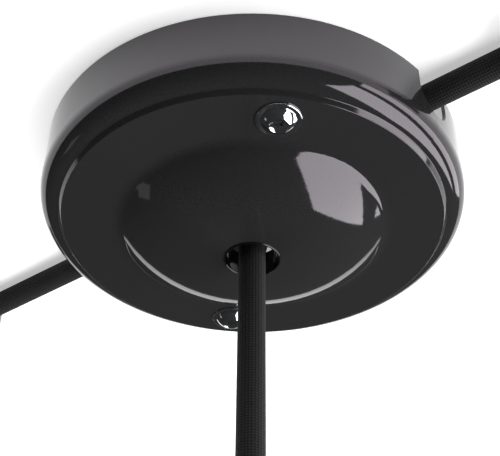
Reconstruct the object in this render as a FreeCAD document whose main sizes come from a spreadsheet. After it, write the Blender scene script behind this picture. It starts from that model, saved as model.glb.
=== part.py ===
# Ceiling rose, 120 mm across, with two side cords and one hanging cord.
#
# Frame: millimetres, +Z up, origin at the centre of the ceiling plane, so the rose
# hangs below Z = 0.  The side cords leave along +X and -X, and the cover's two
# screws lie on the diagonal at -45 and 135 degrees.
import FreeCAD, Part
import math
import os
import re
import Sketcher

V = FreeCAD.Vector

SIZES = {
    "wall_radius": 60.0,
    "wall_height": 14.65,
    "sheet_gauge": 1.0,
    "rim_width": 5.6,
    "rim_round": 6.05,
    "riser_width": 0.9,
    "riser_height": 1.32,
    "riser_round": 0.3,
    "face_width": 14.0,
    "dome_height": 10.0,
    "dome_foot": 5.0,
    "crown_radius": 11.8,
    "slot_width": 13.5,
    "slot_straight": 4.85,
    "screw_inset": 8.0,
    "screw_clearance": 0.2,
    "cord_diameter": 7.47,
    "cord_drop": 4.08,
    "cord_stub": 2.5,
    "right_cord_end": 95.0,
    "left_cord_end": 124.0,
    "centre_cord_top": 11.0,
    "centre_cord_end": 97.0,
    "bush_bore": 14.6,
    "bush_wall": 0.4,
    "bush_flange": 0.25,
    "bush_flange_height": 0.4,
    "bush_height": 7.0,
    "nut_height": 3.0,
    "nut_corners": 22.0,
    "nut_chamfer": 1.2,
    "plate_gauge": 1.6,
    "plate_radius": 24.0,
    "plate_round": 2.0,
    "bend_radius": 2.6,
    "supply_hole": 18.0,
    "fixing_hole": 5.0,
    "fixing_pitch": 60.0,
    "arm_width": 18.0,
    "leg_margin": 5.5,
    "leg_width": 14.0,
    "foot_reach": 12.0,
    "foot_gap": 0.3,
    "arm_gap": 13.0,
    "cord_arm_width": 24.0,
    "cord_slot_width": 9.0,
    "cord_slot_start": 21.0,
    "saddle_inset": 7.0,
    "saddle_length": 10.0,
    "saddle_gauge": 1.2,
    "saddle_round": 1.5,
    "centre_saddle_width": 20.4,
    "centre_saddle_length": 8.0,
    "centre_saddle_drop": 17.0,
    "tab_bottom": 22.5,
    "cover_shank": 5.0,
    "cover_shank_length": 8.0,
    "cover_head": 11.0,
    "cover_head_height": 1.8,
    "washer_diameter": 11.9,
    "washer_height": 0.6,
    "recess_length": 5.0,
    "recess_width": 1.2,
    "recess_depth": 1.3,
    "small_shank": 3.0,
    "small_head": 5.2,
    "small_head_height": 1.8,
    "small_slot": 0.8,
    "earth_shank": 4.0,
    "earth_head": 7.0,
    "earth_distance": 17.5,
    "earth_washer": 9.0,
    "block_front": 12.0,
    "block_back": 25.0,
    "block_top": 9.5,
    "block_bottom": 19.5,
    "block_width": 33.0,
    "block_screw_pitch": 29.0,
    "block_edge": 1.0,
    "block_funnel": 0.4,
    "block_groove": 0.8,
    "block_groove_depth": 1.2,
    "pole_pitch": 4.0,
    "pole_distance": 18.5,
    "bar_cover": 1.0,
    "bar_width": 3.2,
    "bar_depth": 7.0,
    "link_gauge": 1.0,
    "link_gap": 0.8,
    "link_height": 3.0,
    "wire_diameter": 2.2,
    "wire_copper": 1.0,
    "wire_clearance": 0.15,
    "wire_spread": 1.3,
    "wire_lead": 3.0,
    "wire_dip": 0.25,
    "left_neutral_knee": 21.6,
    "left_neutral_side": 1.5,
    "left_line_knee": 18.2,
    "left_line_side": 0.6,
    "right_neutral_knee": 17.0,
    "right_neutral_side": 2.0,
    "right_neutral_turn": 7.5,
    "right_neutral_back": 8.4,
    "right_line_knee": 18.5,
    "right_line_side": 4.2,
    "right_line_turn": 8.5,
    "right_line_back": 11.0,
    "terminal_screw": 2.0,
    "terminal_recess": 1.2,
    "anchor_diameter": 22.0,
    "anchor_height": 14.0,
    "anchor_round": 2.5,
    "anchor_slot": 8.0,
    "anchor_hole": 4.0,
    "anchor_hole_offset": 6.0,
    "tail_spread": 1.6,
    "tail_length": 16.0,
    "ferrule_wall": 0.3,
    "ferrule_length": 9.0,
    "ferrule_collar": 4.0,
}

# Expressions that several pieces share, made of the sheet's aliases.
FOOT_RADIUS = "(wall_radius - rim_width)"
FACE_RADIUS = f"({FOOT_RADIUS} - riser_width)"
DOME_RADIUS = f"({FACE_RADIUS} - face_width)"
FOOT_DROP = "(wall_height + sqrt(rim_round^2 - (rim_round - rim_width)^2))"
FACE_DROP = f"({FOOT_DROP} + riser_height)"
CROWN_DROP = f"({FACE_DROP} + dome_height)"
BUSH_RADIUS = "(bush_bore / 2 + bush_wall)"
CORD_RADIUS = "(cord_diameter / 2)"
FOOT_LOW = f"({FACE_DROP} - sheet_gauge - foot_gap)"
SIDE_RISE = "(cord_drop - plate_gauge)"
SCREW_CIRCLE = f"({FACE_RADIUS} - screw_inset)"
LEG_RADIUS = f"({SCREW_CIRCLE} + leg_margin)"
ARM_END = "(wall_radius - sheet_gauge - arm_gap)"
SADDLE_SPOT = f"({ARM_END} - saddle_inset)"
CORD_START = f"({SADDLE_SPOT} - saddle_length / 2 - cord_stub)"

doc = FreeCAD.newDocument("CeilingRose")
sheet = doc.addObject("Spreadsheet::Sheet", "Sizes")
nodes = []


def bound(expression):
    """Put the sheet's name before each alias in an expression."""
    return re.sub(r"[a-z]\w*", lambda word: "Sizes." + word.group() if word.group() in SIZES
                  else word.group(), str(expression))


def value(expression):
    """The number that an expression has now."""
    return float(sheet.evalExpression(bound(expression)))


def tie(thing, **properties):
    """Bind properties of an object to expressions."""
    for name, expression in properties.items():
        thing.setExpression(name, bound(expression))


def place(thing, x=0, y=0, z=0, rotation=None):
    """Give an object its place, bound to expressions, and its turn."""
    turn = rotation if rotation else FreeCAD.Rotation()
    thing.Placement = FreeCAD.Placement(V(0, 0, 0), turn)
    for axis, expression in zip("xyz", (x, y, z)):
        thing.setExpression(f".Placement.Base.{axis}", bound(expression))


def keep(thing, label):
    """Note an object as a piece of the rose that gets a file of its own."""
    thing.Label = label
    nodes.append(thing)
    return thing


def new_body(label):
    return keep(doc.addObject("PartDesign::Body", "Body"), label)


def new_sketch(body, plane):
    sketch = body.newObject("Sketcher::SketchObject", "Sketch")
    origin = [part for part in body.Origin.OriginFeatures if part.Role == plane][0]
    sketch.AttachmentSupport = [(origin, "")]
    sketch.MapMode = "FlatFace"
    return sketch


def pin_point(sketch, geometry, position, x, y):
    """Fix a point of the sketch by two bound distances from its origin."""
    for kind, expression in (("DistanceX", x), ("DistanceY", y)):
        index = sketch.addConstraint(Sketcher.Constraint(kind, -1, 1, geometry, position, value(expression)))
        sketch.setExpression(f"Constraints[{index}]", bound(expression))


def arc_through(start, end, radius, turn):
    """The short arc from start to end; turn is 1 anticlockwise and -1 clockwise."""
    chord = end - start
    half = chord.Length / 2
    side = V(-chord.y, chord.x, 0).normalize() * turn
    centre = (start + end) * 0.5 + side * math.sqrt(max(radius * radius - half * half, 0))
    first, last = (start, end) if turn > 0 else (end, start)
    angles = [math.atan2(point.y - centre.y, point.x - centre.x) for point in (first, last)]
    if angles[1] < angles[0]:
        angles[1] += 2 * math.pi
    return Part.ArcOfCircle(Part.Circle(centre, V(0, 0, 1), radius), *angles)


def outline(sketch, corners):
    """Draw a closed outline. A corner is (x, y), reached by a straight line, or
    (x, y, radius, turn), reached by an arc."""
    points = [V(value(corner[0]), value(corner[1]), 0) for corner in corners]
    ends = []
    for index, corner in enumerate(corners):
        start, end = points[index - 1], points[index]
        if len(corner) == 2:
            geometry = sketch.addGeometry(Part.LineSegment(start, end), False)
            ends.append((geometry, 1, 2))
        else:
            radius, turn = corner[2], corner[3]
            geometry = sketch.addGeometry(arc_through(start, end, value(radius), turn), False)
            ends.append((geometry, 1, 2) if turn > 0 else (geometry, 2, 1))
    for index, corner in enumerate(corners):
        geometry, _, last = ends[index]
        following, first, _ = ends[(index + 1) % len(corners)]
        sketch.addConstraint(Sketcher.Constraint("Coincident", geometry, last, following, first))
        pin_point(sketch, geometry, last, corner[0], corner[1])
        if len(corner) == 4:
            index = sketch.addConstraint(Sketcher.Constraint("Radius", geometry, value(corner[2])))
            sketch.setExpression(f"Constraints[{index}]", bound(corner[2]))


def circles(sketch, rounds):
    """Draw circles, each (x, y, diameter)."""
    for x, y, diameter in rounds:
        circle = Part.Circle(V(value(x), value(y), 0), V(0, 0, 1), value(diameter) / 2)
        geometry = sketch.addGeometry(circle, False)
        pin_point(sketch, geometry, 3, x, y)
        index = sketch.addConstraint(Sketcher.Constraint("Diameter", geometry, value(diameter)))
        sketch.setExpression(f"Constraints[{index}]", bound(diameter))


def rectangle(x_low, x_high, y_low, y_high):
    return [(x_low, y_low), (x_high, y_low), (x_high, y_high), (x_low, y_high)]


def diagonal_rectangle(start, end, half_width, sense=1):
    """A rectangle along the diagonal of the sketch, from start to end."""
    corners = [(start, f"-({half_width})"), (end, f"-({half_width})"), (end, half_width), (start, half_width)]
    return [(f"{sense} * (({along}) - ({across})) * cos(45)", f"{sense} * (({along}) + ({across})) * cos(45)")
            for along, across in corners]


def revolve(body, corners):
    """Turn an outline, drawn as radius and height, about the body's Z axis."""
    sketch = new_sketch(body, "XZ_Plane")
    outline(sketch, corners)
    turned = body.newObject("PartDesign::Revolution", "Revolution")
    turned.Profile = sketch
    turned.ReferenceAxis = (sketch, ["V_Axis"])
    turned.Angle = 360
    return turned


def pad(body, plane, corners, length, reverse=False, middle=False):
    """Raise an outline into a solid and add it to the body."""
    sketch = new_sketch(body, plane)
    outline(sketch, corners)
    solid = body.newObject("PartDesign::Pad", "Pad")
    solid.Profile = sketch
    solid.Reversed = reverse
    solid.Midplane = middle
    tie(solid, Length=length)
    return solid


def cut_through(body, plane, corners=None, rounds=None):
    """Cut an outline or circles right through the body, both ways."""
    sketch = new_sketch(body, plane)
    if corners:
        outline(sketch, corners)
    if rounds:
        circles(sketch, rounds)
    hole = body.newObject("PartDesign::Pocket", "Pocket")
    hole.Profile = sketch
    hole.Type = "ThroughAll"
    hole.Midplane = True
    return hole


def cut_to(body, plane, depth, corners=None, rounds=None, reverse=False):
    """Cut an outline or circles to a depth from one of the body's origin planes."""
    sketch = new_sketch(body, plane)
    if corners:
        outline(sketch, corners)
    if rounds:
        circles(sketch, rounds)
    hole = body.newObject("PartDesign::Pocket", "Pocket")
    hole.Profile = sketch
    hole.Reversed = reverse
    tie(hole, Length=depth)
    return hole


def groove(body, corners):
    """Cut away an outline, drawn as radius and height, turned about the body's Z axis."""
    sketch = new_sketch(body, "XZ_Plane")
    outline(sketch, corners)
    cut = body.newObject("PartDesign::Groove", "Groove")
    cut.Profile = sketch
    cut.ReferenceAxis = (sketch, ["V_Axis"])
    cut.Angle = 360
    return cut


def round_edges(body, base, radius, wanted):
    """Round the edges of a feature that a test picks."""
    doc.recompute()
    names = [f"Edge{number + 1}" for number, edge in enumerate(base.Shape.Edges) if wanted(edge)]
    fillet = body.newObject("PartDesign::Fillet", "Fillet")
    fillet.Base = (base, names)
    tie(fillet, Radius=radius)
    return fillet


def ring_at(radius, height):
    """A test for a full circle about the body's axis, at a radius and height."""
    def matches(edge):
        curve = edge.Curve
        return (isinstance(curve, Part.Circle) and abs(curve.Radius - value(radius)) < 0.01
                and abs(curve.Center.z - value(height)) < 0.01
                and abs(curve.Center.x) + abs(curve.Center.y) < 0.01)
    return matches


def upright_at(offset, distance):
    """A test for an upright straight edge whose offset, worked out from a point of
    it, is the given distance."""
    def matches(edge):
        first, last = edge.Vertexes[0].Point, edge.Vertexes[-1].Point
        upright = isinstance(edge.Curve, Part.Line) and abs(first.x - last.x) + abs(first.y - last.y) < 0.001
        return upright and abs(offset(first) - value(distance)) < 0.01
    return matches


def turn_to(x, y, z):
    """The turn that takes local X, Y and Z to the three directions."""
    return FreeCAD.Rotation(V(*x), V(*y), V(*z), "XYZ")


# The four diagonal directions of the rose, seen from above.
HALF = math.sqrt(0.5)
FRONT = (HALF, -HALF, 0)
BACK_LEFT = (-HALF, -HALF, 0)
BACK_RIGHT = (HALF, HALF, 0)
DIAGONAL_TURN = FreeCAD.Rotation(V(0, 0, 1), -45)


def make_cover():
    """Pressed steel cover: wall, rim of one large round, riser, flat face and low dome."""
    body = new_body("rose_cover")
    reach = f"({DOME_RADIUS} - crown_radius)"
    span = f"(({reach} * {reach} + dome_height * dome_height) / (2 * dome_height))"
    crown = f"({span} - dome_foot)"
    lean, level = f"({reach} / {span})", f"(({span} - dome_height) / {span})"
    swell_x = f"({DOME_RADIUS} - dome_foot * {lean})"
    swell_z = f"({FACE_DROP} + dome_foot * dome_height / {span})"
    slope = "((sqrt(riser_width^2 + riser_height^2) - riser_width) / riser_height)"
    revolve(body, [
        ("wall_radius", "0"),
        ("wall_radius", "-wall_height"),
        (FOOT_RADIUS, f"-{FOOT_DROP}", "rim_round", -1),
        (FACE_RADIUS, f"-{FACE_DROP}"),
        (DOME_RADIUS, f"-{FACE_DROP}"),
        (swell_x, f"-{swell_z}", "dome_foot", 1),
        ("crown_radius", f"-{CROWN_DROP}", crown, -1),
        (BUSH_RADIUS, f"-{CROWN_DROP}"),
        (BUSH_RADIUS, f"sheet_gauge - {CROWN_DROP}"),
        ("crown_radius", f"sheet_gauge - {CROWN_DROP}"),
        (f"{swell_x} - sheet_gauge * {lean}", f"sheet_gauge * {level} - {swell_z}", f"{crown} - sheet_gauge", 1),
        (DOME_RADIUS, f"sheet_gauge - {FACE_DROP}", "dome_foot + sheet_gauge", -1),
        (f"{FACE_RADIUS} - sheet_gauge * {slope}", f"sheet_gauge - {FACE_DROP}"),
        (f"{FOOT_RADIUS} - sheet_gauge * {slope}", f"sheet_gauge - {FOOT_DROP}"),
        (FOOT_RADIUS, f"sheet_gauge - {FOOT_DROP}"),
        ("wall_radius - sheet_gauge", "-wall_height", "rim_round - sheet_gauge", 1),
        ("wall_radius - sheet_gauge", "0"),
    ])
    half = "(slot_width / 2)"
    cut_through(body, "YZ_Plane", [
        (f"-{half}", "sheet_gauge"),
        (f"-{half}", "-slot_straight"),
        ("0", f"-slot_straight - {half}", half, 1),
        (half, "-slot_straight", half, 1),
        (half, "sheet_gauge"),
    ])
    cut = cut_through(body, "XY_Plane", rounds=[
        (f"{sense} * {SCREW_CIRCLE} * cos(45)", f"{-sense} * {SCREW_CIRCLE} * cos(45)", "cover_shank + 2 * screw_clearance")
        for sense in (1, -1)])
    edges = [ring_at(FOOT_RADIUS, f"-{FOOT_DROP}"), ring_at(FACE_RADIUS, f"-{FACE_DROP}")]
    round_edges(body, cut, "riser_round", lambda edge: any(test(edge) for test in edges))


def leg_profile(outer, low, inner, sense):
    """A strip of the plate bent down at a radius and then in again as a foot."""
    gauge, bend = "plate_gauge", "bend_radius"
    corners = [
        (f"{outer} - 2 * {bend}", "0"), (f"{outer} - {bend}", "0"),
        (outer, f"-{bend}", bend, -1), (outer, f"{bend} - {low}"),
        (f"{outer} - {bend}", f"-{low}", bend, -1), (inner, f"-{low}"),
        (inner, f"{gauge} - {low}"), (f"{outer} - {bend}", f"{gauge} - {low}"),
        (f"{outer} - {gauge}", f"{bend} - {low}", f"{bend} - {gauge}", 1),
        (f"{outer} - {gauge}", f"-{bend}"),
        (f"{outer} - {bend}", f"-{gauge}", f"{bend} - {gauge}", 1),
        (f"{outer} - 2 * {bend}", f"-{gauge}"),
    ]
    return [(f"{sense} * ({corner[0]})", corner[1]) + ((corner[2], sense * corner[3]) if len(corner) == 4 else ())
            for corner in corners]


def flap_profile(face, low, away):
    """A flap bent straight down from the plate, with its face at a distance."""
    gauge, bend = "plate_gauge", "bend_radius"
    return [
        (f"{face} + {away} * 2 * {bend}", "0"),
        (f"{face} + {away} * 2 * {bend}", f"-{gauge}"),
        (f"{face} + {away} * {bend}", f"-{gauge}"),
        (f"{face} + {away} * {gauge}", f"-{bend}", f"{bend} - {gauge}", away),
        (f"{face} + {away} * {gauge}", f"-{low}"),
        (face, f"-{low}"),
        (face, f"-{bend}"),
        (f"{face} + {away} * {bend}", "0", bend, -away),
    ]


def make_plate():
    """Zinc-plated mounting plate, stamped and bent: two long arms with feet for the
    cover's screws, two forked arms for the side cords, and two flaps."""
    body = new_body("mounting_plate")
    place(body, rotation=DIAGONAL_TURN)
    sketch = new_sketch(body, "XY_Plane")
    circles(sketch, [("0", "0", "2 * plate_radius")])
    disc = body.newObject("PartDesign::Pad", "Disc")
    disc.Profile = sketch
    disc.Reversed = True
    tie(disc, Length="plate_gauge")
    arm = f"{LEG_RADIUS} - 1.5 * bend_radius"
    pad(body, "XY_Plane", rectangle(f"-({arm})", arm, "-arm_width / 2", "arm_width / 2"), "plate_gauge", True)
    pad(body, "XY_Plane", diagonal_rectangle(f"-{ARM_END}", ARM_END, "cord_arm_width / 2"),
        "plate_gauge", True)
    pad(body, "XY_Plane", rectangle("-block_width / 2", "block_width / 2", "-block_back - plate_gauge + bend_radius", "0"),
        "plate_gauge", True)
    for sense in (1, -1):
        cut_through(body, "XY_Plane", diagonal_rectangle("cord_slot_start", f"{ARM_END} + 1",
                                                         "cord_slot_width / 2", sense))
    along, across = SADDLE_SPOT, lug_offset("cord_arm_width")
    tapped = []
    for sense in (1, -1):
        for side in (1, -1):
            tapped.append((f"{sense} * ({along} - {side} * {across}) * cos(45)",
                           f"{sense} * ({along} + {side} * {across}) * cos(45)", "small_shank"))
    rounds = [("0", "0", "supply_hole"), ("0", "earth_distance", "earth_shank"),
              ("fixing_pitch / 2", "0", "fixing_hole"), ("-fixing_pitch / 2", "0", "fixing_hole")]
    holes = cut_through(body, "XY_Plane", rounds=rounds + tapped)
    round_edges(body, holes, "plate_round", upright_at(
        lambda point: max(abs(point.x + point.y), abs(point.x - point.y)) * HALF, ARM_END))
    for sense in (1, -1):
        pad(body, "XZ_Plane", leg_profile(LEG_RADIUS, FOOT_LOW, f"({LEG_RADIUS} - foot_reach)", sense),
            "leg_width", middle=True)
    cut_through(body, "XY_Plane", rounds=[(f"{sense} * {SCREW_CIRCLE}", "0", "cover_shank") for sense in (1, -1)])
    pad(body, "YZ_Plane", flap_profile(CORD_RADIUS, "tab_bottom", 1), "centre_saddle_width", middle=True)
    pad(body, "YZ_Plane", flap_profile("(-block_back - plate_gauge)", "block_bottom", 1), "block_width", middle=True)
    middle = "((block_top + block_bottom) / 2)"
    centre_lug = lug_offset("centre_saddle_width")
    rounds = [(f"{sense} * {centre_lug}", "-centre_saddle_drop", "small_shank") for sense in (1, -1)]
    rounds += [(f"{sense} * block_screw_pitch / 2", f"-{middle}", "small_shank") for sense in (1, -1)]
    cut_to(body, "XZ_Plane", "block_back + 3 * plate_gauge", rounds=rounds[2:], reverse=True)
    cut_to(body, "XZ_Plane", f"{CORD_RADIUS} + 3 * plate_gauge", rounds=rounds[:2])


def lug_offset(width):
    """How far the middle of a saddle's lug lies from the cord's axis."""
    return f"((({width}) / 2 + {CORD_RADIUS} + saddle_gauge) / 2)"


def make_saddle(label, rise, width, length, **where):
    """Cord saddle: a strap round the cord with a lug each side, and two holes."""
    body = new_body(label)
    place(body, **where)
    inner, outer, gauge = CORD_RADIUS, f"({CORD_RADIUS} + saddle_gauge)", "saddle_gauge"
    half = f"(({width}) / 2)"
    pad(body, "YZ_Plane", [
        (f"-{half}", rise), (f"-{half}", f"{rise} - {gauge}"),
        (f"-{outer}", f"{rise} - {gauge}"), (f"-{outer}", "0"),
        ("0", f"-{outer}", outer, 1), (outer, "0", outer, 1),
        (outer, f"{rise} - {gauge}"), (half, f"{rise} - {gauge}"), (half, rise),
        (inner, rise), (inner, "0"),
        ("0", f"-{inner}", inner, -1), (f"-{inner}", "0", inner, -1), (f"-{inner}", rise),
    ], length, middle=True)
    lug = lug_offset(width)
    holes = cut_through(body, "XY_Plane", rounds=[("0", f"{sense} * {lug}", "small_shank") for sense in (1, -1)])
    round_edges(body, holes, "saddle_round", upright_at(lambda point: abs(point.y), half))


def make_screw(label, shank, length, head, height, slot, **where):
    """Slotted pan-head screw; its seat is the local XY plane, with the head below."""
    body = new_body(label)
    place(body, **where)
    edge = f"({height} / 3)"
    rise = f"({height} - {edge})"
    dome = f"((({head}) / 2)^2 + {rise}^2) / (2 * {rise})"
    revolve(body, [
        ("0", f"-({height})"), ("0", length), (f"({shank}) / 2", length), (f"({shank}) / 2", "0"),
        (f"({head}) / 2", "0"), (f"({head}) / 2", f"-{edge}"), ("0", f"-({height})", dome, -1),
    ][1:])
    slot_cut(body, height, slot, head)
    return body


def slot_cut(body, height, slot, head):
    """A straight driver slot across the head, half its height deep."""
    cut_through(body, "YZ_Plane", rectangle(f"-({slot}) / 2", f"({slot}) / 2", f"-2 * ({height})", f"-({height}) / 2"))


def make_cover_screw(label, sense):
    """Chrome dome-head screw with a cross recess, through the cover into a foot."""
    body = new_body(label)
    place(body, f"{sense} * {SCREW_CIRCLE} * cos(45)", f"{-sense} * {SCREW_CIRCLE} * cos(45)",
          f"-{FACE_DROP} - washer_height", DIAGONAL_TURN)
    edge = "(cover_head_height / 5)"
    rise = f"(cover_head_height - {edge})"
    dome = f"(((cover_head / 2)^2 + {rise}^2) / (2 * {rise}))"
    revolve(body, [
        ("0", "cover_shank_length"), ("cover_shank / 2", "cover_shank_length"), ("cover_shank / 2", "0"),
        ("cover_head / 2", "0"), ("cover_head / 2", f"-{edge}"), ("0", "-cover_head_height", dome, -1),
    ])
    long, wide = "(recess_length / 2)", "(recess_width / 2)"
    cross = [(long, wide), (wide, wide), (wide, long), (f"-{wide}", long), (f"-{wide}", wide), (f"-{long}", wide),
             (f"-{long}", f"-{wide}"), (f"-{wide}", f"-{wide}"), (f"-{wide}", f"-{long}"), (wide, f"-{long}"),
             (wide, f"-{wide}"), (long, f"-{wide}")]
    sketch = new_sketch(body, "XY_Plane")
    tie(sketch, **{".AttachmentOffset.Base.z": "-cover_head_height"})
    outline(sketch, cross)
    recess = body.newObject("PartDesign::Pocket", "Recess")
    recess.Profile = sketch
    recess.Reversed = True
    tie(recess, Length="recess_depth")


def make_washer(label, hole, diameter, **where):
    """Plain washer with its lower outer edge rounded."""
    body = new_body(label)
    place(body, **where)
    outer, edge, bore = f"({diameter} / 2)", "(washer_height / 2)", f"({hole} / 2 + screw_clearance)"
    revolve(body, [(bore, "0"), (bore, "washer_height"), (outer, "washer_height"), (outer, edge),
                   (f"{outer} - {edge}", "0", edge, -1)])


def make_bush():
    """Thin bush in the centre hole, its outer end rolled into a smooth round lip."""
    body = new_body("cord_bush")
    bore, flange = "(bush_bore / 2)", f"({BUSH_RADIUS} + bush_flange)"
    low = f"({CROWN_DROP} + bush_flange_height)"
    lip = "((bush_wall + bush_flange) / 2)"
    top = f"bush_height - {CROWN_DROP}"
    revolve(body, [
        (bore, top), (bore, f"{lip} - {low}"), (f"{bore} + {lip}", f"-{low}", lip, 1),
        (flange, f"{lip} - {low}", lip, 1),
        (flange, f"-{CROWN_DROP}"), (BUSH_RADIUS, f"-{CROWN_DROP}"), (BUSH_RADIUS, top),
    ])


def make_nut():
    """Thin hexagon nut with chamfered corners that holds the bush from inside."""
    body = new_body("bush_nut")
    place(body, z=f"sheet_gauge - {CROWN_DROP}")
    pad(body, "XY_Plane", [(f"nut_corners / 2 * cos({60 * side})", f"nut_corners / 2 * sin({60 * side})")
                           for side in range(6)], "nut_height")
    cut_through(body, "XY_Plane", rounds=[("0", "0", f"2 * {BUSH_RADIUS}")])
    outside = "(nut_corners / 2 + nut_chamfer)"
    groove(body, [("nut_corners / 2 - nut_chamfer", "nut_height"), (outside, "nut_height - 2 * nut_chamfer * tan(30)"),
                  (outside, "nut_height")])


def link_bar(first, level):
    """A brass bar: three terminals in every second place, joined by a link behind.
    Short necks keep the link clear of the other bar's terminals."""
    places = [first + 2 * step for step in range(3)]
    low, high = "(block_bottom - bar_cover)", "(block_top + bar_cover)"
    back = "-pole_distance - bar_depth / 2"
    pieces = []
    for pole in places:
        side = f"{pole} * pole_pitch - bar_width / 2"
        box = doc.addObject("Part::Box", "Terminal")
        tie(box, Length="bar_width", Width="bar_depth", Height=f"{low} - {high}")
        place(box, side, back, f"-{low}")
        neck = doc.addObject("Part::Box", "Neck")
        tie(neck, Length="bar_width", Width="bar_depth / 2 + link_gap + link_gauge", Height="link_height")
        place(neck, side, f"{back} - link_gap - link_gauge", level)
        pieces += [box, neck]
    link = doc.addObject("Part::Box", "Link")
    tie(link, Length="4 * pole_pitch + bar_width", Width="link_gauge", Height="link_height")
    place(link, f"{places[0]} * pole_pitch - bar_width / 2", f"{back} - link_gap - link_gauge", level)
    fused = doc.addObject("Part::MultiFuse", "Bar")
    fused.Shapes = pieces + [link]
    fused.Refine = True
    return fused, places


def drill(base, holes):
    """Cut cylinders from an object; a hole is (radius, length, x, y, z, rotation)."""
    drills = []
    for radius, length, x, y, z, rotation in holes:
        cylinder = doc.addObject("Part::Cylinder", "Drill")
        tie(cylinder, Radius=radius, Height=length)
        place(cylinder, x, y, z, rotation)
        drills.append(cylinder)
    cutter = doc.addObject("Part::MultiFuse", "Drills")
    cutter.Shapes = drills
    cut = doc.addObject("Part::Cut", "Drilled")
    cut.Base, cut.Tool = base, cutter
    return cut


def add_cuts(cut, kind, items):
    """Add more tools to a drilled object; an item is the tool's sizes and its place."""
    for sizes, where in items:
        tool = doc.addObject(kind, "Tool")
        tie(tool, **sizes)
        place(tool, *where)
        cut.Tool.Shapes = cut.Tool.Shapes + [tool]


def half_poles():
    """Places of the six poles, in pole pitches from the block's middle."""
    return [index - 2.5 for index in range(6)]


TO_BACK = FreeCAD.Rotation(V(1, 0, 0), 90)


def make_terminals():
    """Moulded six-pole terminal block with two brass bars and clamping screws."""
    front = "-block_front"
    link_low = {"neutral_bar": "-block_top - bar_cover - link_height",
                "line_bar": "bar_cover - block_bottom"}
    bars = {}
    for label, first in (("neutral_bar", -2.5), ("line_bar", -1.5)):
        bars[label] = link_bar(first, link_low[label])
    block = doc.addObject("Part::Box", "BlockBody")
    tie(block, Length="block_width", Width="block_back - block_front", Height="block_bottom - block_top")
    place(block, "-block_width / 2", "-block_back", "-block_bottom")
    rounded = doc.addObject("Part::Chamfer", "BlockEdges")
    rounded.Base = block
    doc.recompute()
    front_y = -value("block_front")
    edges = [number + 1 for number, edge in enumerate(block.Shape.Edges)
             if all(abs(vertex.Y - front_y) < 0.01 for vertex in edge.Vertexes)]
    rounded.Edges = [(number, value("block_edge"), value("block_edge")) for number in edges]
    pockets = doc.addObject("Part::MultiFuse", "Pockets")
    pockets.Shapes = [bars[label][0] for label in bars]
    hollow = doc.addObject("Part::Cut", "BlockHollow")
    hollow.Base, hollow.Tool = rounded, pockets
    middle = "((block_top + block_bottom) / 2)"
    holes = []
    for pole in half_poles():
        holes.append(("wire_diameter / 2 + wire_clearance", "bar_cover", f"{pole} * pole_pitch",
                      "-pole_distance", "-block_top - bar_cover", None))
        holes.append(("terminal_screw / 2 + wire_clearance", "pole_distance - bar_depth / 2 - block_front",
                      f"{pole} * pole_pitch", front, f"-{middle}", TO_BACK))
    for sense in (1, -1):
        holes.append(("small_shank / 2", "block_back - block_front", f"{sense} * block_screw_pitch / 2",
                      front, f"-{middle}", TO_BACK))
    drilled = drill(hollow, holes)
    mouth = "wire_diameter / 2 + wire_clearance"
    add_cuts(drilled, "Part::Cone", [
        ({"Radius1": mouth, "Radius2": f"{mouth} + block_funnel", "Height": "block_funnel"},
         (f"{pole} * pole_pitch", "-pole_distance", "-block_top - block_funnel")) for pole in half_poles()])
    add_cuts(drilled, "Part::Box", [
        ({"Length": "block_groove", "Width": "block_groove_depth + block_edge", "Height": "block_bottom - block_top"},
         (f"{gap} * pole_pitch - block_groove / 2", "-block_front - block_groove_depth", "-block_bottom"))
        for gap in range(-2, 3)])
    drilled.Placement = FreeCAD.Placement(V(0, 0, 0), DIAGONAL_TURN)
    keep(drilled, "terminal_block")
    for label, (bar, places) in bars.items():
        holes = []
        for pole in places:
            holes.append(("wire_copper / 2 + wire_clearance", "0.75 * (block_bottom - block_top)",
                          f"{pole} * pole_pitch", "-pole_distance",
                          "-block_top - bar_cover - 0.75 * (block_bottom - block_top)", None))
            holes.append(("terminal_screw / 2", "bar_depth / 2", f"{pole} * pole_pitch",
                          "-pole_distance + bar_depth / 2", f"-{middle}", TO_BACK))
        drilled = drill(bar, holes)
        drilled.Placement = FreeCAD.Placement(V(0, 0, 0), DIAGONAL_TURN)
        keep(drilled, label)


def diagonal(along, across):
    """Row X and Y of a point given along the front diagonal and across it."""
    return f"(({along}) + ({across})) * cos(45)", f"(({across}) - ({along})) * cos(45)"


def make_terminal_screws():
    """Headless slotted screws that clamp the six wires in their terminals."""
    for number, pole in enumerate(half_poles()):
        body = new_body(f"terminal_screw_{number + 1}")
        x, y = diagonal(f"{pole} * pole_pitch", "-block_front - terminal_recess")
        place(body, x, y, "-(block_top + block_bottom) / 2", FreeCAD.Rotation(V(0, 0, 1), V(*BACK_LEFT)))
        length = "(pole_distance - wire_copper / 2 - block_front - terminal_recess)"
        revolve(body, [("0", "0"), ("terminal_screw / 2", "0"), ("terminal_screw / 2", length), ("0", length)])
        cut_through(body, "YZ_Plane", rectangle("-small_slot / 4", "small_slot / 4", "-small_slot", "small_slot"))


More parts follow.
